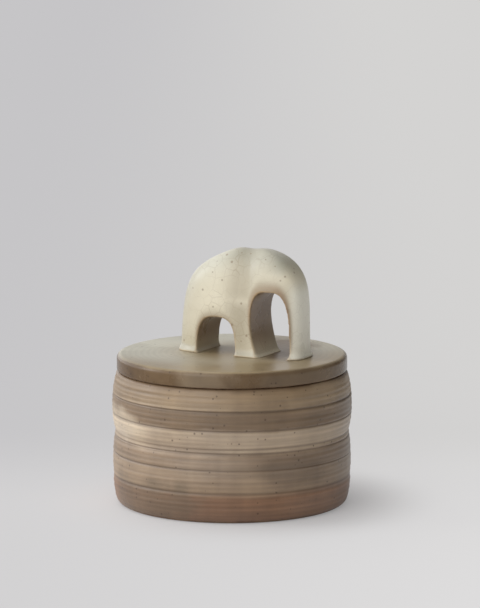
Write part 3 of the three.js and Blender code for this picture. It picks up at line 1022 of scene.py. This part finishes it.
def paint_handle(mesh, points, arches):
    """Where the painted light and shade, the glaze tones and the wear lie, worked out from the
    place in the handle's frame in millimetres: hollow inside the arches, fading towards their feet,
    brown that is partly stained and partly painted shade of the recess; grey-brown, mostly painted
    shade, in a halo round them, on the middle and the left leg, at the left end, in the crease and
    on the right lobe; pale on the right leg, a painted light; painted shade on the right shoulder;
    a cool tint on what faces up and to the left, partly ashen glaze and partly painted shade; and
    edge on ridges."""
    # Brown inside the arches, partly stained and partly painted shade of the deep recess, and a
    # halo of painted shade round them
    hollow = np.zeros(len(points))
    halo = np.zeros(len(points))
    for start, finish, height, crest, lean in arches:
        u, v, z = points.T
        start = start + lean * np.clip(1.0 - z / height, 0.0, 1.0) ** LEAN_POWER
        middle = (start + finish) / 2
        half_width = (finish - start) / 2
        reach = np.abs((u - middle) / half_width) ** crest + np.abs(z / height) ** crest
        reach = reach ** (1.0 / crest)
        depth = soft_step(HANDLE_DEPTH / 2, 0.75 * HANDLE_DEPTH / 2, np.abs(v))
        hollow = np.maximum(hollow, soft_step(1.2, 1.03, reach) * depth)
        halo = np.maximum(halo, 0.7 * soft_step(1.4, 1.0, reach))
    u, _, z = (points / MM).T
    hollow = hollow * (1.0 - 0.2 * soft_step(0.0, 6.0, u) * soft_step(26.0, 6.0, z))
    hollow = hollow * (0.15 + 0.85 * soft_step(0.5, 12.0, z))
    middle_leg = np.exp(-(((u - 3.0) / 8.5) ** 2)) * soft_step(36.0, 24.0, z)
    # Grey-brown, mostly painted shade: round the arches, on the middle leg, at the left leg's foot,
    # at the lit left end, in the crease and on the right lobe
    wash_and_shade_parts = [
        halo * (0.3 + 0.7 * soft_step(1.0, 14.0, z)),
        middle_leg * (0.75 + 0.25 * soft_step(2.0, 16.0, z)),
        0.55 * soft_step(24.0, 6.0, z) * soft_step(-16.0, -22.0, u),
        0.5 * soft_step(-14.0, -34.0, u),
        0.75 * np.exp(-(((u - 4.0) / 9.0) ** 2)) * soft_step(24.0, 36.0, z),
        0.3 * soft_step(6.0, 14.0, u) * soft_step(40.0, 50.0, z),
    ]
    facing = in_jar_frame(mesh_normals(mesh)) - [HANDLE_OFFSET, 0.0, 0.0]
    # A cool, darker tint on faces turned up and to the left, towards the lamps: partly ashen glaze,
    # partly painted shade
    paint(mesh, "ash_and_painted_light", soft_step(0.2, 0.75, facing @ [-0.5, 0.0, 0.85]))
    paint(mesh, "hollow", hollow)
    paint(mesh, "wash_and_painted_shade", np.max(wash_and_shade_parts, axis=0))
    # Painted light on the right leg, and painted shade on the right shoulder
    paint(mesh, "pale", soft_step(30.0, 35.0, u) * soft_step(46.0, 34.0, z))
    paint(mesh, "shade", soft_step(16.0, 28.0, u) * soft_step(43.0, 52.0, z))
    paint(mesh, "edge", soft_step(0.008 * MM, 0.03 * MM, standing_out(mesh, points)))


def make_handle(material):
    """The loaf less two arches and two stud sockets, remeshed finely and smoothed so that every
    edge is softly rounded, then set on the lid."""
    handle = lofted("handle_body", loaf_points(90, 140), material)
    end = HANDLE_LENGTH / 2
    leg_left = MIDDLE_LEG_PLACE - MIDDLE_LEG / 2
    leg_right = MIDDLE_LEG_PLACE + MIDDLE_LEG / 2
    arches = [
        (-end + LEFT_LEG, leg_left, LOW_ARCH_HEIGHT, LOW_ARCH_CREST, 0.0),
        (leg_right, end - RIGHT_LEG, TALL_ARCH_HEIGHT, TALL_ARCH_CREST, TALL_ARCH_LEAN),
    ]
    for number, arch in enumerate(arches):
        rings = arch_points(*arch, 40, 72)
        cut_with(handle, lofted(f"arch_cutter_{number}", rings, material, flip=True))
    for name, u in LEG_PLACES.items():
        socket = upright_bar(f"socket_{name}", (u, 0.0), STUD_BORE, -MM, SOCKET_DEPTH, material)
        cut_with(handle, socket)
    fine = handle.modifiers.new("fine", "REMESH")
    fine.mode = "VOXEL"
    fine.voxel_size = VOXEL
    soft = handle.modifiers.new("soft", "SMOOTH")
    soft.factor = 0.5
    soft.iterations = SMOOTHINGS
    apply_modifiers(handle)
    mesh = handle.data
    points = mesh_points(mesh)
    paint_handle(mesh, points, arches)
    points = points + mesh_normals(mesh) * hand_marks(points)[:, None]
    placed = in_jar_frame(points) + [0.0, 0.0, HANDLE_FOOT - TOUCH_GAP + HAIR]
    mesh.vertices.foreach_set("co", placed.ravel())
    mesh.update()
    return handle


# Fixings

def own_distance(turn, radius, height):
    """The distance from a piece's own axis, for its turning marks."""
    return radius


def hexagon(turn, radius, height):
    """The nearer of the outline and a hexagon's flat side, its corners on the handle's V axis."""
    sixth = np.pi / 3
    from_middle = np.mod(turn - HANDLE_TURN - np.pi / 2, sixth) - sixth / 2
    return np.minimum(radius, NUT_ACROSS_FLATS / 2 / np.cos(from_middle))


def threaded(bottom):
    """A radius that dips in a spiral from the bar's bottom up: a rounded V of the pitch."""
    def radius_of(turn, radius, height):
        share = np.mod((height - bottom) / THREAD_PITCH - turn / (2.0 * np.pi), 1.0)
        dip = THREAD_DEPTH * np.abs(2.0 * share - 1.0) ** 1.3
        along = soft_step(0.0, 0.6 * MM, height - bottom)
        along = along * soft_step(0.0, MM, bottom + THREAD_LENGTH - height)
        return radius - dip * along * (radius > 1.0 * MM)
    return radius_of


def make_fixing(name, place, brass, leather):
    """A threaded stud with its leather washer, brass washer and nut, by their CAD nodes' boxes and
    pulled up against each other."""
    stud_low, stud_high = (corner[2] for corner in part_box(f"stud_{name}"))
    flat_low, flat_high = (corner[2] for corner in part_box(f"flat_washer_{name}"))
    nut_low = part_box(f"nut_{name}")[0][2]
    common = {"painted": {"from_axis": own_distance}, "centre": place}

    thread_end = stud_low + THREAD_LENGTH
    threads = rounded_outline([
        (0.0, stud_low, 0.0),
        (STUD_RADIUS, stud_low, 0.35 * MM),
        (STUD_RADIUS, thread_end, 0.0),
    ], THREAD_PITCH / 6)
    shank = rounded_outline([
        (STUD_RADIUS, thread_end, 0.0),
        (STUD_RADIUS, stud_high, 0.35 * MM),
        (0.0, stud_high, 0.0),
    ], 1.5 * MM)
    stud = turned(f"stud_{name}_bar", np.concatenate([threads, shank[1:]]), brass,
                  shape=threaded(stud_low), steps=36, **common)

    soft_low = flat_high + HAIR
    soft_high = LID_UNDERSIDE - HAIR
    soft = turned(f"soft_washer_{name}_ring", rounded_outline([
        (STUD_BORE, soft_low, 0.3 * MM),
        (SOFT_WASHER_RADIUS, soft_low, 0.45 * MM),
        (SOFT_WASHER_RADIUS - 0.1 * MM, soft_high, 0.35 * MM),
        (STUD_BORE, soft_high, 0.3 * MM),
    ], 0.5 * MM, closed=True), leather, steps=96, closed=True, **common)

    flat = turned(f"flat_washer_{name}_ring", rounded_outline([
        (STUD_BORE, flat_low, 0.1 * MM),
        (FLAT_WASHER_RADIUS, flat_low, 0.25 * MM),
        (FLAT_WASHER_RADIUS, flat_high, 0.1 * MM),
        (STUD_BORE, flat_high, 0.1 * MM),
    ], 0.4 * MM, closed=True), brass, steps=96, closed=True, **common)

    nut_high = flat_low - HAIR
    bevel = 0.3 * MM
    face = 0.48 * NUT_ACROSS_FLATS
    corner = NUT_ACROSS_FLATS / 2 / math.cos(math.pi / 6)
    slope = (corner - face) * math.tan(math.pi / 6)
    nut = turned(f"nut_{name}_hexagon", rounded_outline([
        (NUT_BORE + bevel, nut_low, 0.0),
        (face, nut_low, 0.0),
        (corner, nut_low + slope, 0.0),
        (corner, nut_high - slope, 0.0),
        (face, nut_high, 0.0),
        (NUT_BORE + bevel, nut_high, 0.0),
        (NUT_BORE, nut_high - bevel, 0.0),
        (NUT_BORE, nut_low + bevel, 0.0),
    ], 0.12 * MM, closed=True), brass, shape=hexagon, first_turn=HANDLE_TURN, steps=72, closed=True,
        crease=24.0, **common)

    for piece, node, finish in ((stud, "stud", "brass"), (soft, "soft_washer", "washer_leather"),
                                (flat, "flat_washer", "brass"), (nut, "nut", "brass")):
        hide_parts(f"{node}_{name}")
        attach(piece, "cover")


# Stage: floor, light and camera

def make_floor():
    """A wide pale floor, lightest round the jar and dimmer behind it and to the left. Part of what
    the camera sees of it is its own light, the more the farther from the jar, so that the jar's
    shadow fades."""
    material, shader, place = new_material("floor_paper")
    x, y, _ = split(place)
    left = span(x, 0.20, -0.20)
    near = mixed(left, srgb(223, 222, 222), srgb(209, 208, 209))
    far = mixed(left, srgb(212, 211, 210), srgb(198, 197, 199))
    shown = mixed(span(y, -0.02, 0.22), near, far)
    feed(shader, Base_Color=shown, Roughness=0.9, Specular_IOR_Level=0.1)
    distance = vector("LENGTH", place)["Value"]
    steady = plus(span(distance, 0.07, 0.12, FLOOR_STEADY, 0.8),
                  span(distance, 0.12, 0.40, 0.0, 0.2))
    tree = shader.id_data
    path = add("ShaderNodeLightPath", {}, tree).outputs
    seen = higher(path["Is Camera Ray"], path["Is Glossy Ray"])
    seen = higher(seen, path["Is Transmission Ray"])
    glow = add("ShaderNodeEmission", {"Color": shown}).outputs[0]
    both = {0: times(steady, seen), 1: shader.outputs[0], 2: glow}
    surface = add("ShaderNodeMixShader", both).outputs[0]
    connect(tree.nodes["Material Output"].inputs["Surface"], surface)
    corners = np.array([[-1, -1, 0], [1, -1, 0], [1, 1, 0], [-1, 1, 0]]) * FLOOR_SIZE / 2
    make_piece("floor", corners, [(0, 1, 2, 3)], material)


def aim(thing, target):
    """Turns a light or camera to look at a point."""
    thing.rotation_euler = (Vector(target) - thing.location).to_track_quat("-Z", "Y").to_euler()


def make_light(name, place, size, power):
    """A round soft lamp that looks at the jar."""
    lamp = bpy.data.lights.new(name, "AREA")
    lamp.shape = "DISK"
    lamp.size = size
    lamp.energy = power
    light = in_scene(name, lamp)
    light.location = place
    aim(light, LAMP_TARGET)


def make_world():
    """A pale room, brighter to the left than to the right."""
    world = bpy.data.worlds.new("studio")
    scene.world = world
    world.use_nodes = True
    tree = world.node_tree
    back = tree.nodes["Background"]
    direction = add("ShaderNodeTexCoord", {}, tree).outputs["Generated"]
    room = span(split(direction)[0], -1.0, 0.8, ROOM_LEFT, ROOM_RIGHT)
    seen = add("ShaderNodeLightPath", {}, tree).outputs["Is Camera Ray"]
    strength = add("ShaderNodeMix", {0: seen, 2: room, 3: ROOM_SEEN}, data_type="FLOAT")
    feed(back, Color=(1.0, 0.99, 0.99, 1.0), Strength=strength.outputs[0])


def make_camera():
    """A long lens a little above the jar, straight from the front."""
    data = bpy.data.cameras.new("camera")
    data.lens = LENS
    data.sensor_width = SENSOR
    data.clip_end = 100.0
    camera = in_scene("camera", data)
    camera.location = CAMERA_PLACE
    aim(camera, CAMERA_TARGET)
    scene.camera = camera


make_camera()
make_floor()
make_world()
for lamp in LAMPS:
    make_light(*lamp)
scene.view_settings.view_transform = "Standard"

stud_places = {name: in_jar_frame(np.array([u, 0.0, 0.0]))[:2] for name, u in LEG_PLACES.items()}

jar = turned("jar_wall", jar_outline(), make_jar_glaze(), shape=thrown_wall,
             painted={"ridge": ridges, "scored": scored_here})
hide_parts("jar_body")
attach(jar, "jar")

lid = make_lid(make_lid_glaze())
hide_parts("lid")
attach(lid, "cover")

handle = make_handle(make_handle_glaze())
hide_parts("handle")
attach(handle, "cover")

brass = make_brass()
leather = make_leather()
for leg, place in stud_places.items():
    make_fixing(leg, place, brass, leather)
